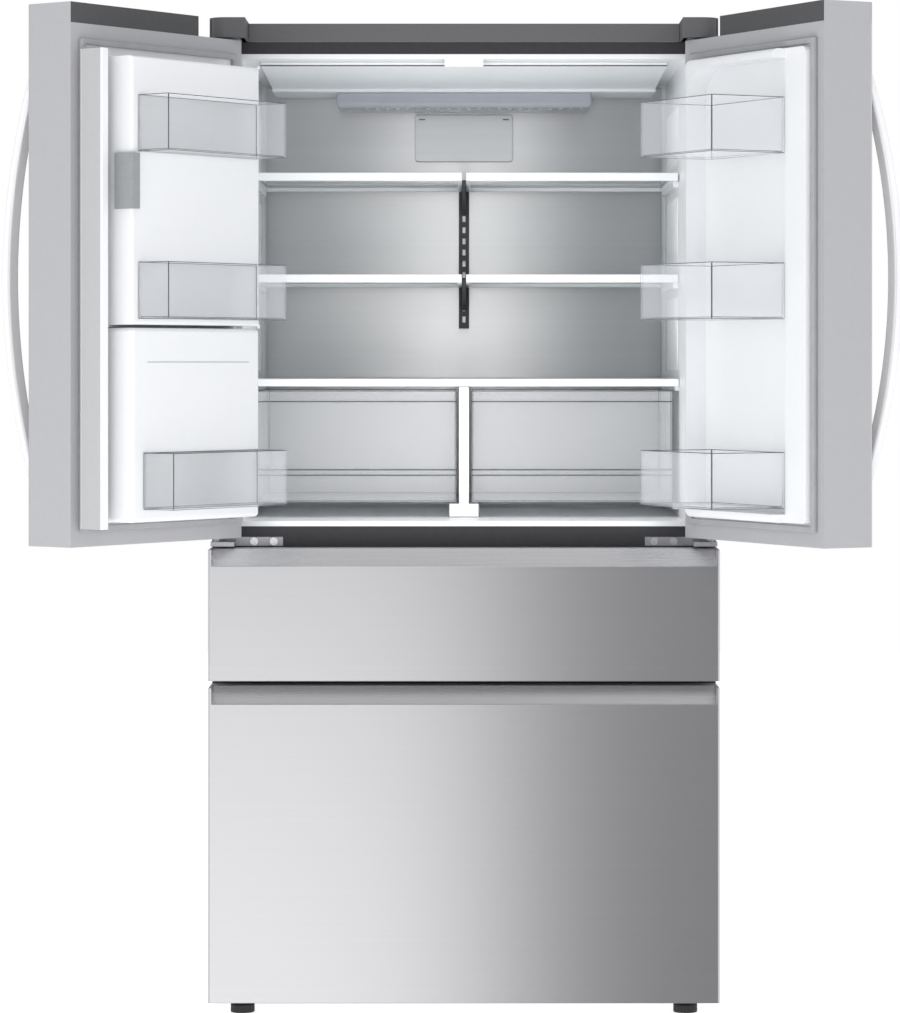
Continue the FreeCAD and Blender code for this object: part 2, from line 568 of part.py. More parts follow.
def drawers():
    drawer_front("pantry_front", "pantry_low", "pantry_high")
    drawer_front("freezer_front", "freezer_low", "freezer_high")
    pantry_fixed, pantry_middle, pantry_moving = rails("rail_low", "20", "560")
    freezer_fixed, freezer_middle, freezer_moving = rails("ice_rail_low", "20", "425")
    sub_part("drawer_rails_fixed", group(*pantry_fixed, *freezer_fixed))
    sub_part("pantry_rails_middle", group(*pantry_middle))
    sub_part("freezer_rails_middle", group(*freezer_middle))

    panel = box(("-half_width+skin", "half_width-skin"), ("inner_y-wall", "inner_y"),
                ("pantry_low+skin", "pantry_high-grip_drop-28"))
    seal = ring(("-430", "430"), ("inner_y", "-2"), ("606", "826"), ("-418", "418"), ("618", "814"))
    basket = tray(("-372", "372"), ("inner_y", "585"), ("622", "800"), "wall")
    sub_part("pantry_bin", group(panel, seal, basket, *pantry_moving))

    panel = box(("-half_width+skin", "half_width-skin"), ("inner_y-wall", "inner_y"),
                ("freezer_low+skin", "freezer_high-grip_drop-28"))
    seal = ring(("-430", "430"), ("inner_y", "-2"), ("48", "578"), ("-418", "418"), ("60", "566"))
    basket = tray(("-372", "372"), ("inner_y", "430"), ("75", "420"), "wall")
    sub_part("freezer_bin", group(panel, seal, basket, *freezer_moving))
    sub_part("freezer_tray", group(tray(("-368", "368"), ("10", "420"), ("422", "522"), "wall")))


# ---------------------------------------------------------------- cooling, water and feet
def fan(axis, centre, start, blade_r, blades):
    """Hub and pitched blades of an axial fan; centre is in x, y, z without the axis."""
    pieces = [cylinder(axis, centre, (f"{start}", f"{start + 16}"), "14")]
    for index in range(blades):
        blade = doc.addObject("Part::Box", "blade")
        blade.Length = 14
        blade.Width = blade_r - 12
        blade.Height = 2
        spin = FreeCAD.Rotation(FreeCAD.Vector(1, 0, 0), 360.0 * index / blades)
        pitch = FreeCAD.Rotation(FreeCAD.Vector(0, 1, 0), 28)
        offset = (spin * pitch).multVec(FreeCAD.Vector(-7, 0, -1)) + spin.multVec(FreeCAD.Vector(8, 12, 0))
        turn = FreeCAD.Rotation() if axis == "x" else FreeCAD.Rotation(FreeCAD.Vector(0, 0, 1), 90)
        middle = {"x": FreeCAD.Vector(start, value(centre[0]), value(centre[1])),
                  "y": FreeCAD.Vector(value(centre[0]), start, value(centre[1]))}[axis]
        blade.Placement = FreeCAD.Placement(middle + turn.multVec(offset), turn * spin * pitch)
        pieces.append(blade)
    return fuse(*pieces)


def cooling():
    """Compressor and condenser in the machine room, evaporator behind the freezer's rear panel."""
    shell = fuse(cylinder("z", ("-230", "600"), ("55", "200"), "75"),
                 cylinder("z", ("-230", "600"), ("198", "225"), "52"))
    base = box(("-320", "-140"), ("530", "670"), ("49", "56"))
    pads = [cylinder("z", (x, y), ("43", "50"), "12") for x in ("-300", "-160") for y in ("550", "650")]
    compressor = fuse(shell, base, *pads)
    fins = [box((f"{left}", f"{left + 3}"), ("500", "700"), ("50", "250")) for left in range(130, 400, 15)]
    pipes = [cylinder("x", (y, z), ("120", "410"), "4")
             for y in ("540", "600", "660") for z in ("90", "150", "210")]
    tray_plate = box(("120", "410"), ("495", "705"), ("43", "51"))
    motor = cylinder("x", ("600", "150"), ("30", "62"), "22")
    stand = box(("34", "58"), ("592", "608"), ("43", "140"))
    sub_part("condensing_unit", group(compressor, fuse(tray_plate, *fins, *pipes), fuse(motor, stand)))
    sub_part("condenser_fan", group(fan("x", ("600", "150"), 64, 75, 5)))

    fan_hole = cylinder("y", ("0", "480"), ("531", "536"), "56")
    cover = cut(box(("-room_x+2", "room_x-2"), ("532", "535"), ("315", "578")), fan_hole)
    coil = [box((f"{left}", f"{left + 2}"), ("565", "595"), ("325", "415")) for left in range(-250, 251, 20)]
    tubes = [cylinder("x", ("580", z), ("-262", "262"), "4") for z in ("340", "370", "400")]
    fan_motor = cylinder("y", ("0", "480"), ("560", "584"), "16")
    bracket = box(("-60", "60"), ("583", "597"), ("474", "486"))
    sub_part("evaporator", group(cover, fuse(*coil, *tubes), fuse(fan_motor, bracket)))
    sub_part("evaporator_fan", group(fan("y", ("0", "480"), 541, 52, 5)))

    valve = fuse(box(("-430", "-380"), ("660", "712"), ("90", "150")),
                 cylinder("y", ("-405", "120"), ("711", "case_depth"), "9.5"))
    bracket = box(("-452", "-429"), ("670", "700"), ("100", "140"))
    sub_part("water_inlet", fuse(valve, bracket))


def feet():
    for side, name in ((-1, "foot_left"), (1, "foot_right")):
        middle = "foot_x" if side > 0 else "-foot_x"
        pad = cylinder("z", (middle, "foot_y"), ("0", "14"), "foot_r")
        collar = cylinder("z", (middle, "foot_y"), ("13", "24.5"), "foot_r-7")
        stud = cylinder("z", (middle, "foot_y"), ("24", "freezer_low-0.5"), "5")
        sub_part(name, fuse(pad, collar, stud))
    rollers = []
    for side in (-1, 1):
        wheel = cylinder("x", ("roller_y", "roller_r"), sided(side, "367", "393"), "roller_r")
        bore = cylinder("x", ("roller_y", "roller_r"), sided(side, "366", "394"), "4.3")
        rollers.append(cut(wheel, bore))
    sub_part("rear_rollers", group(*rollers))


case_shell()
case_back()
base_pan()
cross_rails()
foam_insulation()
fridge_liner()
lower_liners()
fridge_fittings()
shelves()
crispers()
air_filter()
top_trim()
hinge_brackets()
left_door()
right_door()
drawers()
cooling()
feet()
doc.recompute()

# ---------------------------------------------------------------- checks and export
for item in doc.Objects:
    if {"Invalid", "Error"} & set(item.State):
        raise RuntimeError(f"{item.Name} failed: {item.State}")
for item in sub_parts:
    if item.Shape.isNull() or not item.Shape.isValid() or not item.Shape.Solids:
        raise RuntimeError(f"{item.Label} has no valid solid")
os.makedirs("parts", exist_ok=True)
for item in sub_parts:
    item.Shape.exportStep(f"parts/{item.Label}.step")
whole = Part.makeCompound([item.Shape for item in sub_parts]).BoundBox
print(len(sub_parts), "sub-parts", whole)
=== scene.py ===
import json
import math
import bmesh
import bpy
from mathutils import Matrix, Vector

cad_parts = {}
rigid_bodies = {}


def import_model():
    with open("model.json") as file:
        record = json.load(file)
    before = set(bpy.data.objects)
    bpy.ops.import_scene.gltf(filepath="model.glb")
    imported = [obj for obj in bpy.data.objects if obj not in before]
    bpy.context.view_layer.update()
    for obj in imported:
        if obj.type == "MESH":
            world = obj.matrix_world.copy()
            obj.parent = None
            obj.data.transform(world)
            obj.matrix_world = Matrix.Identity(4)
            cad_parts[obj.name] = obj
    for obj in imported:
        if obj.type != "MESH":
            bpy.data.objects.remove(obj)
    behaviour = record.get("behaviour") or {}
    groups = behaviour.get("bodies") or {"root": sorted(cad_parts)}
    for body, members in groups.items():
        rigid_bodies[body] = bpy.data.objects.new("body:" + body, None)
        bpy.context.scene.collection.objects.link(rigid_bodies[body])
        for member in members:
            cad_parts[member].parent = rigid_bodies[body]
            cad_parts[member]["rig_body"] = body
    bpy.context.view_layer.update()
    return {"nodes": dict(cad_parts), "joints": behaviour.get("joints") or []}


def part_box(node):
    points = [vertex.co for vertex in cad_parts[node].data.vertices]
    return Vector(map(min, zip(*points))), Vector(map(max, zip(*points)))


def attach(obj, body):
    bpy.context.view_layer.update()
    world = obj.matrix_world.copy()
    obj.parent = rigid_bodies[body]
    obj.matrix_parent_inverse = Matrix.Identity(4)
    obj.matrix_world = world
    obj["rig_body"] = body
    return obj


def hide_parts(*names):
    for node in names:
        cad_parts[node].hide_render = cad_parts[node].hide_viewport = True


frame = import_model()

# ------------------------------------------------------------------ painted steel case
# The case is a folded sheet wrapper in satin grey paint, closed by a galvanised back panel.
# Its pieces are copies of the frame's shapes with their folds and edges eased.


def values_group(name, inputs, outputs):
    """Empty shader group with named float or vector sockets, and its two end nodes."""
    tree = bpy.data.node_groups.new(name, "ShaderNodeTree")
    for label, kind, start in inputs:
        socket = tree.interface.new_socket(label, in_out="INPUT", socket_type=kind)
        socket.default_value = start
    for label in outputs:
        tree.interface.new_socket(label, in_out="OUTPUT", socket_type="NodeSocketFloat")
    return tree, tree.nodes.new("NodeGroupInput"), tree.nodes.new("NodeGroupOutput")


def grain_group():
    """Stretched noise on object coordinates: brushing when stretched, moulded grain when even."""
    tree, start, end = values_group("surface_grain", [("Stretch", "NodeSocketVector", (1, 1, 1)),
                                                      ("Detail", "NodeSocketFloat", 4.0)], ["Fine", "Broad"])
    place = tree.nodes.new("ShaderNodeTexCoord")
    mapping = tree.nodes.new("ShaderNodeMapping")
    tree.links.new(place.outputs["Object"], mapping.inputs["Vector"])
    tree.links.new(start.outputs["Stretch"], mapping.inputs["Scale"])
    for label, scale in (("Fine", 1.0), ("Broad", 0.07)):
        noise = tree.nodes.new("ShaderNodeTexNoise")
        noise.inputs["Scale"].default_value = scale
        tree.links.new(start.outputs["Detail"], noise.inputs["Detail"])
        tree.links.new(mapping.outputs["Vector"], noise.inputs["Vector"])
        tree.links.new(noise.outputs["Fac"], end.inputs[label])
    return tree


GRAIN = grain_group()


def finish_of(name, light, dark, rough=(0.3, 0.4), stretch=(900, 900, 900), bump=0.02, **shader):
    """Principled material: colour between two tones and roughness between two values, over the grain."""
    material = bpy.data.materials.new(name)
    material.use_nodes = True
    nodes, links = material.node_tree.nodes, material.node_tree.links
    principled = nodes["Principled BSDF"]
    grain = nodes.new("ShaderNodeGroup")
    grain.node_tree = GRAIN
    grain.inputs["Stretch"].default_value = stretch
    mixed = nodes.new("ShaderNodeMath")
    mixed.operation = "MULTIPLY_ADD"
    mixed.inputs[1].default_value = 0.5
    half = nodes.new("ShaderNodeMath")
    half.operation = "MULTIPLY"
    half.inputs[1].default_value = 0.5
    links.new(grain.outputs["Broad"], half.inputs[0])
    links.new(grain.outputs["Fine"], mixed.inputs[0])
    links.new(half.outputs[0], mixed.inputs[2])
    ramp = nodes.new("ShaderNodeValToRGB")
    ramp.color_ramp.elements[0].position = 0.3
    ramp.color_ramp.elements[0].color = (*dark, 1)
    ramp.color_ramp.elements[1].position = 0.7
    ramp.color_ramp.elements[1].color = (*light, 1)
    links.new(mixed.outputs[0], ramp.inputs["Fac"])
    links.new(ramp.outputs["Color"], principled.inputs["Base Color"])
    spread = nodes.new("ShaderNodeMapRange")
    spread.inputs["To Min"].default_value = rough[0]
    spread.inputs["To Max"].default_value = rough[1]
    links.new(mixed.outputs[0], spread.inputs["Value"])
    links.new(spread.outputs["Result"], principled.inputs["Roughness"])
    relief = nodes.new("ShaderNodeBump")
    relief.inputs["Strength"].default_value = bump
    relief.inputs["Distance"].default_value = 0.0004
    links.new(grain.outputs["Fine"], relief.inputs["Height"])
    links.new(relief.outputs["Normal"], principled.inputs["Normal"])
    for socket, amount in shader.items():
        principled.inputs[socket.replace("_", " ")].default_value = amount
    return material


def brushed_across(material, amount=0.85):
    """Level brushing: mirrored light is drawn out upwards. The small tilt keeps level faces defined."""
    nodes, links = material.node_tree.nodes, material.node_tree.links
    upright = nodes.new("ShaderNodeCombineXYZ")
    upright.inputs["X"].default_value = 0.02
    upright.inputs["Y"].default_value = 0.03
    upright.inputs["Z"].default_value = 1.0
    links.new(upright.outputs[0], nodes["Principled BSDF"].inputs["Tangent"])
    nodes["Principled BSDF"].inputs["Anisotropic"].default_value = amount
    return material


def clean_copy(node, name, materials, bevel=0.0012, segments=2, choose=None, edge_finish=-1):
    """Copy of a frame node with merged faces and eased edges; choose gives each face's material number."""
    mesh = frame["nodes"][node].data.copy()
    mesh.materials.clear()
    for material in materials:
        mesh.materials.append(material)
    work = bmesh.new()
    work.from_mesh(mesh)
    bmesh.ops.remove_doubles(work, verts=work.verts, dist=2e-6)
    bmesh.ops.dissolve_limit(work, angle_limit=math.radians(0.5), verts=work.verts, edges=work.edges)
    for face in work.faces:
        face.material_index = choose(face) if choose else 0
        face.smooth = True
    work.to_mesh(mesh)
    work.free()
    mesh.set_sharp_from_angle(angle=math.radians(30))
    piece = bpy.data.objects.new(name, mesh)
    bpy.context.scene.collection.objects.link(piece)
    if bevel:
        ease = piece.modifiers.new("eased_edges", "BEVEL")
        ease.width = bevel
        ease.segments = segments
        ease.limit_method = "ANGLE"
        ease.angle_limit = math.radians(35)
        ease.material = edge_finish
        level = piece.modifiers.new("flat_panels", "WEIGHTED_NORMAL")
        level.mode = "FACE_AREA"
        level.weight = 100
        level.keep_sharp = True
    body = frame["nodes"][node]["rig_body"]
    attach(piece, body)
    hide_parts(node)
    return piece


def case_tone_with_flange_shade(face):
    """Painted shade: near-black on the folded front flange, which sits in shade under the top bar; satin grey
    on the outside.
    """
    return 1 if face.normal.y < -0.9 else 0


case_paint = finish_of("case_paint", (0.30, 0.30, 0.31), (0.27, 0.27, 0.28), (0.38, 0.5), (1400, 1400, 1400),
                       0.06)
galvanised = finish_of("galvanised", (0.62, 0.63, 0.65), (0.45, 0.46, 0.48), (0.35, 0.55), (60, 60, 60), 0.03,
                       Metallic=0.9)
# Near-black for the front rails, also used as painted shade on the case's front flange.
rail_dark_and_flange_shade = finish_of("rail_dark_and_flange_shade", (0.045, 0.045, 0.05), (0.035, 0.035, 0.04), (0.4, 0.5), bump=0.03,
                      Specular_IOR_Level=0.3)
clean_copy("case_shell", "case_wrapper", [case_paint, rail_dark_and_flange_shade], 0.0006, choose=case_tone_with_flange_shade)
clean_copy("back_panel", "case_back", [galvanised], 0)
clean_copy("machine_room_cover", "machine_cover", [galvanised], 0)
clean_copy("base_pan", "base_pan_sheet", [galvanised], 0)
clean_copy("cross_rails", "front_rails", [rail_dark_and_flange_shade], 0.001)

# ------------------------------------------------------------------ top trim and hinges
# A plastic bar closes the front of the top between two hinge covers with rounded outer corners.
# Under them sit zinc-plated hinge plates with pins and pan-head screws.
moulded_grain = (2200, 2200, 2200)
cap_plastic = finish_of("cap_plastic", (0.085, 0.085, 0.09), (0.07, 0.07, 0.075), (0.45, 0.58), moulded_grain,
                        0.12, Specular_IOR_Level=0.25)
bar_plastic = finish_of("bar_plastic", (0.135, 0.135, 0.14), (0.12, 0.12, 0.125), (0.45, 0.55), moulded_grain,
                        0.1, Specular_IOR_Level=0.25)
zinc = finish_of("zinc", (0.74, 0.74, 0.76), (0.66, 0.66, 0.68), (0.2, 0.3), (300, 300, 300), Metallic=0.6)
clean_copy("top_cover_bar", "top_bar", [bar_plastic], 0.003, 3)
clean_copy("hinge_covers", "top_hinge_covers", [bar_plastic], 0.003, 3)
plate_zinc = finish_of("plate_zinc", (0.46, 0.46, 0.48), (0.38, 0.38, 0.40), (0.3, 0.42), (300, 300, 300),
                       0.03, Metallic=0.7)
bracket_low, bracket_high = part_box("hinge_brackets")
middle_x = (bracket_low.x + bracket_high.x) / 2
case_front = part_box("cross_rails")[0].y
case_top_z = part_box("case_shell")[1].z
screw_x, screw_r = (0.3425, 0.3776), 0.008
plate_proud = 0.0035
lower_hinge_top = 1.0


def hinge_tone(face):
    """Bright screw heads on the lower plates, which are darker."""
    place = face.calc_center_median()
    away = min(abs(abs(place.x - middle_x) - x) for x in screw_x)
    return 1 if place.y < case_front - plate_proud and away < screw_r and place.z < lower_hinge_top else 0


clean_copy("hinge_brackets", "hinges", [plate_zinc, zinc, cap_plastic], 0.001, choose=hinge_tone, edge_finish=2)

# ------------------------------------------------------------------ fresh food room
# White moulded liner with upright ribs, a brushed steel sheet at the back, a sloping ceiling
# panel and a clear lamp lens. Ribs repeat along each side wall.
liner_white = finish_of("liner_white", (0.84, 0.85, 0.865), (0.825, 0.835, 0.85), (0.3, 0.32), bump=0.002)
steel_wall = finish_of("steel_wall", (0.64, 0.64, 0.65), (0.60, 0.60, 0.61), (0.32, 0.37), (6, 400, 1400),
                       Metallic=1.0)
brushed_across(steel_wall)
clean_copy("fridge_liner", "food_liner", [liner_white], 0.0015)
clean_copy("pantry_liner", "pantry_liner_shell", [liner_white], 0.001)
clean_copy("freezer_liner", "freezer_liner_shell", [liner_white], 0.001)
back_sheet = clean_copy("steel_back_wall", "food_back_sheet", [steel_wall], 0)
clean_copy("ceiling_panel", "food_ceiling", [liner_white], 0.003, 3)


def block_row_tree():
    """Geometry nodes: a straight row of blocks, with its count, step, size and material as inputs."""
    tree = bpy.data.node_groups.new("block_row", "GeometryNodeTree")
    for label, kind in (("Count", "NodeSocketInt"), ("Start", "NodeSocketVector"), ("Step", "NodeSocketVector"),
                        ("Size", "NodeSocketVector"), ("Finish", "NodeSocketMaterial")):
        tree.interface.new_socket(label, in_out="INPUT", socket_type=kind)
    tree.interface.new_socket("Geometry", in_out="OUTPUT", socket_type="NodeSocketGeometry")
    start, end = tree.nodes.new("NodeGroupInput"), tree.nodes.new("NodeGroupOutput")
    line = tree.nodes.new("GeometryNodeMeshLine")
    block = tree.nodes.new("GeometryNodeMeshCube")
    spread = tree.nodes.new("GeometryNodeInstanceOnPoints")
    real = tree.nodes.new("GeometryNodeRealizeInstances")
    paint = tree.nodes.new("GeometryNodeSetMaterial")
    tree.links.new(start.outputs["Count"], line.inputs["Count"])
    tree.links.new(start.outputs["Start"], line.inputs["Start Location"])
    tree.links.new(start.outputs["Step"], line.inputs["Offset"])
    tree.links.new(start.outputs["Size"], block.inputs["Size"])
    tree.links.new(line.outputs["Mesh"], spread.inputs["Points"])
    tree.links.new(block.outputs["Mesh"], spread.inputs["Instance"])
    tree.links.new(spread.outputs["Instances"], real.inputs["Geometry"])
    tree.links.new(real.outputs["Geometry"], paint.inputs["Geometry"])
    tree.links.new(start.outputs["Finish"], paint.inputs["Material"])
    tree.links.new(paint.outputs["Geometry"], end.inputs["Geometry"])
    return tree


BLOCK_ROW = block_row_tree()


def from_tree(name, tree, body, place=None, **inputs):
    """Run a geometry tree once and keep its mesh as a plain piece."""
    carrier = bpy.data.objects.new(name + "_source", bpy.data.meshes.new(name + "_source"))
    bpy.context.scene.collection.objects.link(carrier)
    modifier = carrier.modifiers.new("tree", "NODES")
    modifier.node_group = tree
    for item in tree.interface.items_tree:
        if item.in_out == "INPUT" and item.name in inputs:
            modifier[item.identifier] = inputs[item.name]
    graph = bpy.context.evaluated_depsgraph_get()
    mesh = bpy.data.meshes.new_from_object(carrier.evaluated_get(graph))
    bpy.data.objects.remove(carrier)
    if place:
        mesh.transform(place)
    mesh.name = name
    piece = bpy.data.objects.new(name, mesh)
    bpy.context.scene.collection.objects.link(piece)
    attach(piece, body)
    return piece


room_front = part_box("fridge_liner")[0].y
shelf_low, shelf_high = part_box("shelf_frames")
shelf_gap = 0.002
rib_count, rib_proud, rib_width, rib_step, first_rib = 9, 0.0016, 0.02, 0.042, 0.23
rib_levels = ((1.150, 1.285), (1.345, 1.472), (1.535, 1.640))
for side, name in ((-1, "left"), (1, "right")):
    wall_x = shelf_high.x + shelf_gap if side > 0 else shelf_low.x - shelf_gap
    for level, (low, high) in enumerate(rib_levels):
        from_tree(f"wall_ribs_{name}_{level}", BLOCK_ROW, "cabinet", Count=rib_count,
                  Start=Vector((wall_x - side * rib_proud / 2, room_front + first_rib, (low + high) / 2)),
                  Step=Vector((0, rib_step, 0)), Size=Vector((rib_proud, rib_width, high - low)),
                  Finish=liner_white)

lens_clear = finish_of("lens_clear", (0.70, 0.71, 0.78), (0.64, 0.65, 0.72), (0.12, 0.2), (500, 500, 500), 0.0,
                       Alpha=0.45)
clean_copy("lamp_lens", "lamp_cover", [lens_clear], 0.004, 3)
lens_low, lens_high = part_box("lamp_lens")
flute_count, flute_inset, flute_height = 24, 0.016, 0.0075
flute_run = lens_high.x - lens_low.x - 2 * flute_inset
from_tree("lamp_flutes", BLOCK_ROW, "cabinet", Count=flute_count,
          Start=Vector((lens_low.x + flute_inset, (lens_low.y + lens_high.y) / 2, lens_low.z + flute_height)),
          Step=Vector((flute_run / (flute_count - 1), 0, 0)), Size=Vector((0.006, 0.128, 0.003)),
          Finish=liner_white)
ceiling_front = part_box("ceiling_panel")[0].y
seam_drop = 0.038
seam_grey = finish_of("seam_grey", (0.12, 0.12, 0.125), (0.09, 0.09, 0.095), (0.5, 0.6), bump=0.0)
from_tree("ceiling_seam", BLOCK_ROW, "cabinet", Count=1, Step=Vector((0, 0, 0)),
          Start=Vector((middle_x, ceiling_front, case_top_z - seam_drop)), Size=Vector((0.74, 0.001, 0.002)),
          Finish=seam_grey)

# ------------------------------------------------------------------ shelves
# Tempered glass panes in white moulded frames, hooked at the back into a dark slotted rail that is
# screwed to the steel sheet. The lowest frame is also the lid of the two crispers.
shelf_glass = finish_of("shelf_glass", (0.80, 0.88, 0.88), (0.76, 0.86, 0.86), (0.03, 0.06), (40, 40, 40), 0.0,
                        Alpha=0.35)
clean_copy("shelf_frames", "shelf_surrounds", [liner_white], 0.0015)
clean_copy("crisper_cover", "crisper_lid_surround", [liner_white], 0.0015)
clean_copy("shelf_glass", "shelf_panes", [shelf_glass], 0)
clean_copy("ladder_rail", "shelf_rail", [cap_plastic], 0.0006)

# ------------------------------------------------------------------ clear bins
# Injection-moulded clear polystyrene boxes with thin walls and a rolled rim. The door bins hang on
# the door liners, and the two crispers slide on each side of a moulded divider.


def clear_finish(name, tone, thin, edge):
    """Clear plastic: nearly open face on, denser at a glancing angle, as a moulded wall is."""
    material = finish_of(name, tone, tuple(0.96 * part for part in tone), (0.16, 0.18), (400, 400, 400), 0.0)
    nodes, links = material.node_tree.nodes, material.node_tree.links
    facing = nodes.new("ShaderNodeLayerWeight")
    facing.inputs["Blend"].default_value = 0.35
    alpha = nodes.new("ShaderNodeMapRange")
    alpha.inputs["To Min"].default_value = thin
    alpha.inputs["To Max"].default_value = edge
    links.new(facing.outputs["Facing"], alpha.inputs["Value"])
    links.new(alpha.outputs["Result"], nodes["Principled BSDF"].inputs["Alpha"])
    return material


clear_bin = clear_finish("clear_bin", (0.78, 0.80, 0.83), 0.05, 0.38)
# Near-black clear finish: painted shade for the dark look that refraction gives the rims and wall ends of clear
# plastic.
clear_rim_shade = clear_finish("clear_rim_shade", (0.06, 0.06, 0.07), 0.75, 0.95)
# Dark grey for the eased edges of white parts: painted shade along their edges.
edge_shade_grey = finish_of("edge_shade_grey", (0.20, 0.20, 0.21), (0.16, 0.16, 0.17), (0.4, 0.5), bump=0.0)
clear_drawer = clear_finish("clear_drawer", (0.94, 0.95, 0.97), 0.14, 0.6)
rim_width = 0.0045


def rim_shade_tone(face):
    """Rolled rims and the ends of the walls get painted shade, near-black as refraction makes clear plastic
    edges look; the panels stay clear.
    """
    corners = [vert.co for vert in face.verts]
    spans = sorted(max(co[axis] for co in corners) - min(co[axis] for co in corners) for axis in range(3))
    return 1 if spans[1] < rim_width else 0


# The crisper boxes' eased edges take the painted rim shade.
for node, name in (("crisper_left", "crisper_box_left"), ("crisper_right", "crisper_box_right")):
    clean_copy(node, name, [clear_drawer, clear_rim_shade], segments=1, edge_finish=1)
# The divider's eased edges carry painted edge shade.
clean_copy("crisper_support", "crisper_divider", [liner_white, edge_shade_grey], edge_finish=1)
for node, name in (("left_door_bin", "bottle_bin_left"), ("right_door_bins", "bottle_bins_right"),
                   ("ice_door_bins", "small_bins_left")):
    clean_copy(node, name, [clear_bin, clear_rim_shade], 0.00124, 1, rim_shade_tone, 1)
clean_copy("ice_bucket", "ice_bucket_box", [clear_drawer], 0.0014)
clean_copy("freezer_tray", "freezer_tray_box", [clear_drawer], 0.0014)

# ------------------------------------------------------------------ air filter
# A black cartridge sits in the back sheet behind a metal-faced cover with a dark edge. The cover
# pulls off two spring clips at its top.
clean_copy("filter_cartridge", "filter_block", [cap_plastic], 0.001)
filter_face = finish_of("filter_face", (0.62, 0.63, 0.64), (0.56, 0.57, 0.58), (0.3, 0.4), (8, 500, 1500), 0.03,
                        Metallic=0.75)
filter_lid = clean_copy("filter_cover", "filter_lid", [filter_face, cap_plastic], 0.0016, edge_finish=1)
filter_low, filter_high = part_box("filter_cover")
clip_inset, clip_drop = 0.014, 0.009
from_tree("filter_clips", BLOCK_ROW, "filter_cover", Count=2,
          Start=Vector((filter_low.x + clip_inset, filter_low.y, filter_high.z - clip_drop)),
          Step=Vector((filter_high.x - filter_low.x - 2 * clip_inset, 0, 0)),
          Size=Vector((0.012, 0.0008, 0.0024)), Finish=seam_grey)

# ------------------------------------------------------------------ doors
# Each door is a folded brushed steel skin over foam, with a plastic cap, a white moulded liner,
# a magnetic gasket and a bowed steel handle.
steel_front = finish_of("steel_front", (0.64, 0.64, 0.655), (0.61, 0.61, 0.625), (0.34, 0.38),
                        (5, 1200, 1800), Metallic=1.0)
brushed_across(steel_front)
side_steel = finish_of("side_steel", (0.43, 0.43, 0.445), (0.41, 0.41, 0.425), (0.4, 0.5),
                       (1200, 1200, 1200), 0.05)
handle_steel = finish_of("handle_steel", (0.90, 0.90, 0.91), (0.86, 0.86, 0.87), (0.22, 0.30),
                         (900, 900, 8), Metallic=0.35)
seal_grey = finish_of("seal_grey", (0.40, 0.40, 0.41), (0.34, 0.34, 0.35), (0.5, 0.65), (600, 600, 600), 0.1)


def door_matrix(side):
    """From the shut door to the door as modelled: a turn about its pin."""
    joint = [item for item in frame["joints"] if item["name"] == f"{side}_door_hinge"][0]
    turn = math.radians(-joint["range_deg"][0]) * joint["axis"][2]
    pin = Vector(joint["pos_m"])
    return Matrix.Translation(pin) @ Matrix.Rotation(turn, 4, "Z") @ Matrix.Translation(-pin)


for side in ("left", "right"):
    turned = door_matrix(side).to_3x3()

    def skin(face, outward=(turned @ Vector((0, -1, 0))).normalized()):
        """Brushed steel on the outer face, plain steel on the returns."""
        return 0 if face.normal.dot(outward) > 0.3 else 1

    def cap_ends(face, along=(turned @ Vector((1, 0, 0))).normalized()):
        """The steel skin wraps the two ends of the plastic cap."""
        return 1 if abs(face.normal.dot(along)) > 0.7 else 0

    clean_copy(f"{side}_door_shell", f"{side}_door_skin", [steel_front, side_steel], 0.001, choose=skin)
    clean_copy(f"{side}_door_cap", f"{side}_door_top_cap", [cap_plastic, side_steel], 0.002, choose=cap_ends)
    clean_copy(f"{side}_door_liner", f"{side}_door_inner", [liner_white], 0.003, 3)
    clean_copy(f"{side}_door_gasket", f"{side}_door_seal", [seal_grey], 0.002)
    clean_copy(f"{side}_door_handle", f"{side}_door_pull", [handle_steel], 0.004, 3)

# ------------------------------------------------------------------ ice room and dispenser
# The ice room's own insulated door carries two bins and a grey latch; behind it are the ice maker
# and its bucket. The dispenser recess is on the outer face below them.
panel_black = finish_of("panel_black", (0.012, 0.012, 0.014), (0.008, 0.008, 0.01), (0.08, 0.14),
                        (300, 300, 300), 0.01, Coat_Weight=0.4)
latch_grey = finish_of("latch_grey", (0.33, 0.34, 0.35), (0.28, 0.29, 0.3), (0.4, 0.5), (1500, 1500, 1500),
                       0.08)
clean_copy("ice_door", "ice_room_door", [liner_white], 0.002, 3)
clean_copy("ice_latch", "ice_room_latch", [latch_grey], 0.001)
clean_copy("ice_maker", "ice_maker_unit", [liner_white], 0.002)
clean_copy("dispenser_housing", "dispenser_recess", [panel_black], 0.001)
clean_copy("dispenser_paddle", "dispenser_lever", [latch_grey], 0.0006)

# A thin grey line in gasket grey along the left door liner's crease: painted shade where the moulding folds.
crease_left, crease_deep, crease_z = 0.225, 0.084, 1.165
from_tree("crease_shade_line", BLOCK_ROW, "left_door", door_matrix("left"), Count=1, Step=Vector((0, 0, 0)),
          Start=Vector((middle_x - crease_left, case_front + crease_deep, crease_z)),
          Size=Vector((0.27, 0.0008, 0.0012)), Finish=seal_grey)

# ------------------------------------------------------------------ mullion
# A folding sealing bar on the left door: a steel face on an insulated plastic body. It turns on an
# upright pin and closes the gap between the two shut doors.
mullion_face = finish_of("mullion_face", (0.48, 0.48, 0.49), (0.45, 0.45, 0.46), (0.35, 0.42),
                         (1200, 1200, 1200), 0.01)
widest_plastic = 0.03


def mullion_tone(face):
    """Steel on the large faces, white plastic on the rest."""
    return 1 if face.calc_area() > widest_plastic else 0


# The bar's eased edges carry painted edge shade.
clean_copy("mullion_flap", "mullion_bar", [liner_white, mullion_face, edge_shade_grey], 0.0016, 2, mullion_tone, 2)

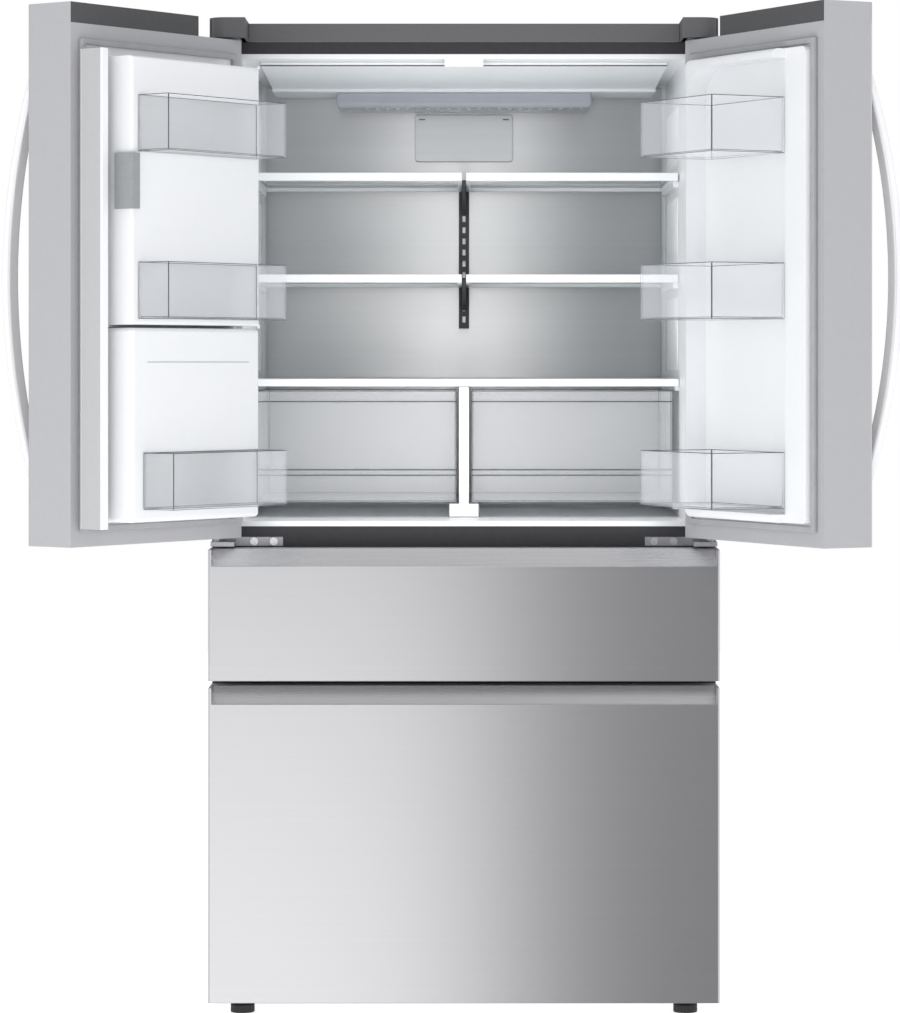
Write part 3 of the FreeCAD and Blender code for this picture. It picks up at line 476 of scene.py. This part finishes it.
# ------------------------------------------------------------------ drawers
# Folded steel fronts with a scooped grip along the top, each screwed to a white moulded box that
# rides on zinc-plated telescopic slides.
grip_steel = finish_of("grip_steel", (0.62, 0.62, 0.63), (0.57, 0.57, 0.58), (0.24, 0.3), (5, 900, 1500), 0.03,
                       Metallic=1.0)
grip_depth, grip_half_width = 0.06, 0.449
face_edge, top_edge = 0.002, 0.0005
for drawer in ("pantry", "freezer"):
    low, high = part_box(f"{drawer}_front")

    def front_tone(face, low=low, high=high):
        """The grip's own steel, the brushed face, and plain steel on the returns."""
        place = face.calc_center_median()
        in_height = high.z - grip_depth < place.z < high.z - top_edge
        if in_height and place.y > low.y + face_edge and abs(place.x - middle_x) < grip_half_width:
            return 1
        return 0 if face.normal.y < -0.3 else 2

    clean_copy(f"{drawer}_front", f"{drawer}_front_skin", [steel_front, grip_steel, side_steel], 0.0008,
               choose=front_tone)
    clean_copy(f"{drawer}_bin", f"{drawer}_drawer_box", [liner_white], 0.0015)
    clean_copy(f"{drawer}_rails_middle", f"{drawer}_slide_bars", [zinc], 0.0006)
clean_copy("drawer_rails_fixed", "fixed_slide_bars", [zinc], 0.0006)

# ------------------------------------------------------------------ machinery, feet and rollers
# Black painted compressor and condenser on the base pan, an aluminium evaporator and two fans. Foam
# poured between case and liners makes one cabinet, which stands on two feet and rear rollers.
black_paint = finish_of("black_paint", (0.022, 0.022, 0.023), (0.016, 0.016, 0.017), (0.35, 0.5),
                        (700, 700, 700), 0.05)
black_rubber = finish_of("black_rubber", (0.02, 0.02, 0.02), (0.013, 0.013, 0.013), (0.6, 0.75), bump=0.15)
foam_yellow = finish_of("foam_yellow", (0.78, 0.68, 0.42), (0.66, 0.56, 0.33), (0.8, 0.9), (200, 200, 200),
                        0.3)
clean_copy("foam_insulation", "foam_block", [foam_yellow], 0)
clean_copy("condensing_unit", "compressor_and_condenser", [black_paint], 0)
clean_copy("evaporator", "evaporator_coil", [galvanised], 0)
clean_copy("condenser_fan", "condenser_fan_blades", [black_paint], 0)
clean_copy("evaporator_fan", "evaporator_fan_blades", [black_paint], 0)
clean_copy("water_inlet", "water_valve", [black_paint], 0.0006)
for node, name in (("foot_left", "levelling_foot_left"), ("foot_right", "levelling_foot_right"),
                   ("rear_rollers", "roller_wheels")):
    clean_copy(node, name, [black_rubber], 0.001)

# ------------------------------------------------------------------ floor, light and camera
# Plain pale floor under a white surround, soft boxes in front, above and to the left, and a long
# lens at chest height. The floor is left out of mirrored light and casts no shadow.
studio = bpy.context.scene
studio.view_settings.view_transform = "Standard"
studio.cycles.transparent_max_bounces = 24
front_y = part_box("pantry_front")[0].y

floor_mesh = bpy.data.meshes.new("floor")
floor_z = -0.0005
floor_corners = [(x, y, floor_z) for x, y in ((-8, -9), (8, -9), (8, 8), (-8, 8))]
floor_mesh.from_pydata(floor_corners, [], [(0, 1, 2, 3)])
floor = bpy.data.objects.new("floor", floor_mesh)
studio.collection.objects.link(floor)
pale_floor = finish_of("pale_floor", (0.9, 0.9, 0.9), (0.88, 0.88, 0.88), (0.6, 0.7), (3, 3, 3), 0.0,
                       Emission_Color=(1, 1, 1, 1), Emission_Strength=0.72)
floor_nodes, floor_links = pale_floor.node_tree.nodes, pale_floor.node_tree.links
gloss_ray = floor_nodes.new("ShaderNodeLightPath")
open_floor = floor_nodes.new("ShaderNodeBsdfTransparent")
floor_choice = floor_nodes.new("ShaderNodeMixShader")
either = floor_nodes.new("ShaderNodeMath")
either.operation = "MAXIMUM"
floor_links.new(gloss_ray.outputs["Is Glossy Ray"], either.inputs[0])
floor_links.new(gloss_ray.outputs["Is Shadow Ray"], either.inputs[1])
floor_links.new(either.outputs[0], floor_choice.inputs["Fac"])
floor_links.new(floor_nodes["Principled BSDF"].outputs[0], floor_choice.inputs[1])
floor_links.new(open_floor.outputs[0], floor_choice.inputs[2])
floor_links.new(floor_choice.outputs[0], floor_nodes["Material Output"].inputs["Surface"])
floor_mesh.materials.append(pale_floor)

world = bpy.data.worlds.new("studio")
studio.world = world
world.use_nodes = True
nodes, links = world.node_tree.nodes, world.node_tree.links
nodes.clear()
direction = nodes.new("ShaderNodeTexCoord")
split = nodes.new("ShaderNodeSeparateXYZ")
across = nodes.new("ShaderNodeMapRange")
across.inputs["From Min"].default_value = -1.0
across.inputs["From Max"].default_value = 1.0
ramp = nodes.new("ShaderNodeValToRGB")
stops = ramp.color_ramp.elements
far_side = (0.70, 0.70, 0.71, 1)
stops[0].position, stops[0].color = 0.0, far_side
stops[1].position, stops[1].color = 1.0, far_side
for position, tone in ((0.2, 0.45), (0.34, 0.15), (0.42, 0.09), (0.58, 0.09), (0.66, 0.62)):
    stop = stops.new(position)
    stop.color = (tone, tone, tone * 1.01, 1)
above = nodes.new("ShaderNodeMapRange")
above.inputs["From Min"].default_value = 0.25
above.inputs["From Max"].default_value = 0.5
sky = nodes.new("ShaderNodeMix")
sky.data_type = "RGBA"
sky.inputs["B"].default_value = (0.62, 0.62, 0.63, 1)
mirrored = nodes.new("ShaderNodeBackground")
mirrored.inputs["Strength"].default_value = 1.5
even = nodes.new("ShaderNodeBackground")
even.inputs["Color"].default_value = (0.98, 0.99, 1, 1)
even.inputs["Strength"].default_value = 0.70
seen = nodes.new("ShaderNodeBackground")
seen.inputs["Color"].default_value = (1, 1, 1, 1)
ray = nodes.new("ShaderNodeLightPath")
by_gloss = nodes.new("ShaderNodeMixShader")
by_camera = nodes.new("ShaderNodeMixShader")
output = nodes.new("ShaderNodeOutputWorld")
links.new(direction.outputs["Generated"], split.inputs[0])
links.new(split.outputs["X"], across.inputs["Value"])
links.new(across.outputs["Result"], ramp.inputs["Fac"])
links.new(split.outputs["Z"], above.inputs["Value"])
links.new(above.outputs["Result"], sky.inputs["Factor"])
links.new(ramp.outputs["Color"], sky.inputs["A"])
links.new(sky.outputs["Result"], mirrored.inputs["Color"])
links.new(ray.outputs["Is Glossy Ray"], by_gloss.inputs["Fac"])
links.new(even.outputs[0], by_gloss.inputs[1])
links.new(mirrored.outputs[0], by_gloss.inputs[2])
links.new(ray.outputs["Is Camera Ray"], by_camera.inputs["Fac"])
links.new(by_gloss.outputs[0], by_camera.inputs[1])
links.new(seen.outputs[0], by_camera.inputs[2])
links.new(by_camera.outputs[0], output.inputs["Surface"])


def soft_box(name, place, aim, size, power, gloss=False):
    """Rectangular light that faces a point; only one with gloss is mirrored by the steel."""
    light = bpy.data.lights.new(name, "AREA")
    light.shape = "RECTANGLE"
    light.size, light.size_y = size
    light.energy = power
    holder = bpy.data.objects.new(name, light)
    holder.location = place
    holder.rotation_euler = (Vector(aim) - Vector(place)).to_track_quat("-Z", "Y").to_euler()
    holder.visible_camera = False
    holder.visible_glossy = gloss
    studio.collection.objects.link(holder)
    return holder


soft_box("front_fill", (middle_x, -3.4, 1.35), (middle_x, 0, 1.2), size=(1.6, 1.6), power=7.5)
soft_box("top_fill", (0, -2.6, 4.2), (0, 0, 0.8), size=(3.0, 2.0), power=10)
soft_box("left_soft_box", (-1.15, -3.2, -1.05), (-1.15, 0, -1.05), size=(2.54, 3.9), power=46, gloss=True)
room_mouth = case_front - 0.02
soft_box("room_fill", (middle_x, room_mouth, 1.28), (middle_x, 1, 1.28), size=(0.7, 0.84), power=0.75)
soft_box("crisper_fill", (middle_x, room_mouth, 1.00), (middle_x, 1, 1.00), size=(0.7, 0.2), power=0.45)
strip = soft_box("back_wall_strip", (middle_x, -1.9, 1.40), (middle_x, 0, 1.40), size=(0.24, 1.4), power=4.4,
                 gloss=True)

# The tall strip lights only the brushed back sheet and the filter cover.
lit_by_strip = bpy.data.collections.new("lit_by_strip")
lit_by_strip.objects.link(back_sheet)
lit_by_strip.objects.link(filter_lid)
strip.light_linking.receiver_collection = lit_by_strip
soft_box("room_lamp", (middle_x, lens_low.y - 0.06, lens_low.z + 0.01), (middle_x, lens_low.y - 0.3, 0.9),
         size=(0.5, 0.1), power=0.4)

camera_height, camera_away = 1.165, 6.67 - 0.110
camera_data = bpy.data.cameras.new("camera")
camera_data.lens = 131.5
camera_data.sensor_width = 36
camera_data.shift_x = -0.0138
camera_data.shift_y = -0.1426
camera = bpy.data.objects.new("camera", camera_data)
camera.location = (middle_x, front_y - camera_away, camera_height)
camera.rotation_euler = (math.radians(90), 0, 0)
studio.collection.objects.link(camera)
studio.camera = camera
